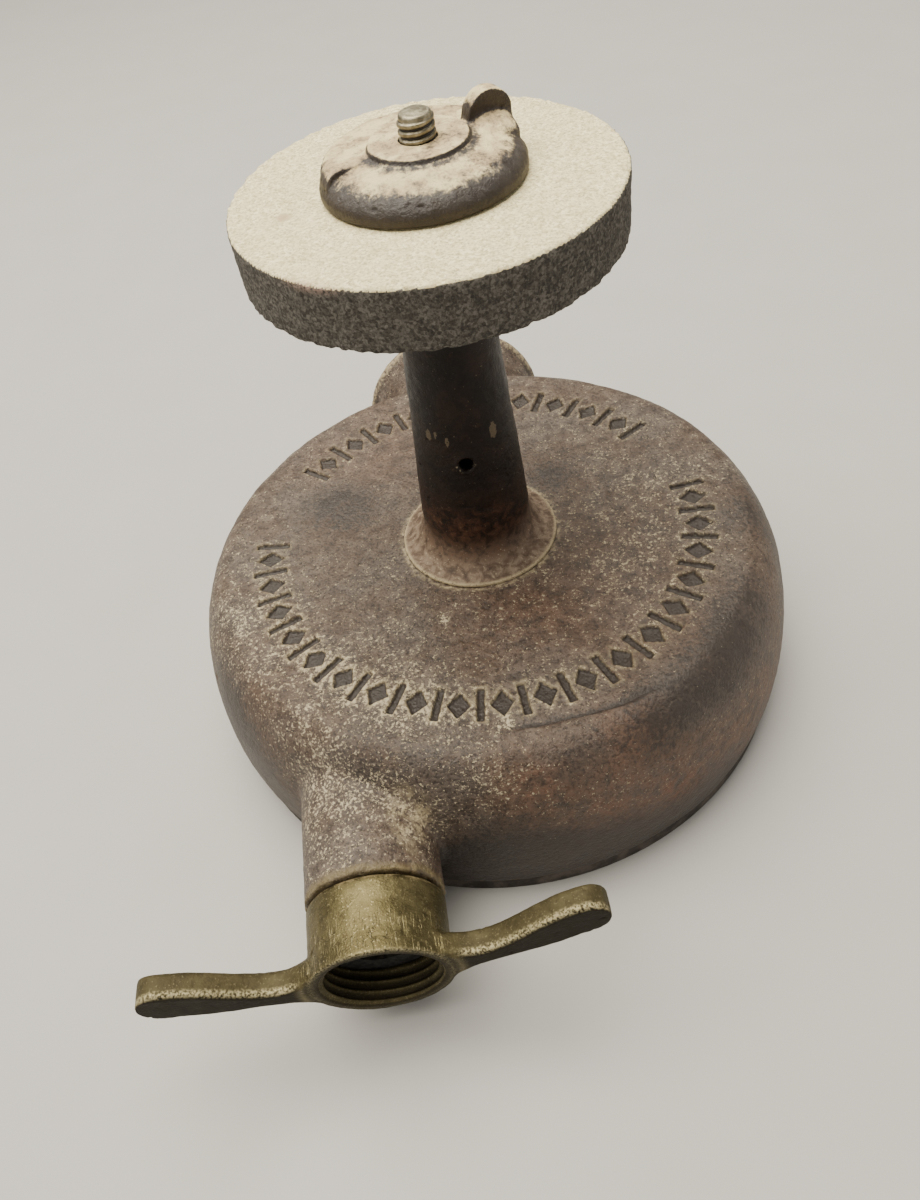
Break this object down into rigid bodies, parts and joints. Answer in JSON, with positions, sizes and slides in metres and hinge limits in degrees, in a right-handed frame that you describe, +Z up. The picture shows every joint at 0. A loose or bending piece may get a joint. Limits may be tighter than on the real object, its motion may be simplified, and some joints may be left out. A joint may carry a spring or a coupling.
{
  "type": "faucet water motor with grinding wheel",
  "caption": "Faucet-driven water motor: domed cast case, wing coupling inlet, flared outlet, bearing column and a grinding wheel held by a cup nut.",
  "frame": {"origin": "where the spindle axis meets the base plane, on the underside of the bottom cover", "axes": "+Z up the spindle towards the grinding wheel, -Y out of the wing coupling's mouth, +Y out of the outlet"},
  "size_m": [0.1677, 0.1869, 0.1497],
  "materials": {
    "case_iron": "rough, with brown patina and pale mineral dust",
    "cover_iron": "rough, dark",
    "column_iron": "worn dark enamel over pitted iron",
    "nut_iron": "worn, dusty",
    "spindle_steel": "oily, slightly tarnished",
    "screw_steel": "plain",
    "runner_steel": "rolled sheet",
    "runner_brass": "cast, dull",
    "fitting_brass": "turned",
    "coupling_brass": "cast and scratched, olive patina",
    "bush_bronze": "turned",
    "abrasive_stone": "coarse abrasive grain",
    "lead": "dull cast lead",
    "felt": "oiled felt",
    "gasket_paper": "plain",
    "washer_rubber": "matt"
  },
  "bodies": {
    "housing": {"case_shell": "case_iron", "spout_rim": "case_iron", "bottom_cover": "cover_iron", "cover_gasket": "gasket_paper", "cover_screws": "screw_steel", "thrust_button": "spindle_steel", "bearing_column": "column_iron", "column_locknut": "column_iron", "lower_bush": "bush_bronze", "upper_bush": "bush_bronze", "oil_wick": "felt", "shaft_packing": "felt", "packing_gland": "bush_bronze", "jet_nozzle": "fitting_brass", "inlet_tailpiece": "fitting_brass"},
    "spindle": {"spindle": "spindle_steel", "runner_hub": "bush_bronze", "runner_disc": "runner_steel", "runner_buckets": "runner_brass", "bucket_rivets": "screw_steel", "hub_pin": "spindle_steel", "slinger": "runner_brass", "back_flange": "nut_iron", "flange_pin": "spindle_steel", "lower_blotter": "gasket_paper", "grinding_wheel": "abrasive_stone", "wheel_bush": "lead"},
    "nut_washer": {"upper_blotter": "gasket_paper"},
    "clamp_nut": {"clamp_nut": "nut_iron"},
    "coupling": {"wing_coupling": "coupling_brass", "hose_washer": "washer_rubber", "inlet_screen": "fitting_brass"}
  },
  "joints": [
    {"name": "spindle_spin", "type": "hinge", "parent": "housing", "child": "spindle", "pos_m": [0, 0, 0.08], "axis": [0, 0, 1], "continuous": true},
    {"name": "clamp_nut_lift", "type": "slide", "parent": "spindle", "child": "nut_washer", "axis": [0, 0, 1], "range_m": [0, 0.0057]},
    {"name": "clamp_nut_turn", "type": "hinge", "parent": "nut_washer", "child": "clamp_nut", "pos_m": [0, 0, 0.14], "axis": [0, 0, 1], "range_deg": [0, 1440]},
    {"name": "coupling_swivel", "type": "hinge", "parent": "housing", "child": "coupling", "pos_m": [-0.03925, -0.095, 0.024], "axis": [0, 1, 0], "continuous": true}
  ],
  "couplings": [
    {"joint": "clamp_nut_lift", "follows": "clamp_nut_turn", "m_per_rad": 0.00022282}
  ]
}
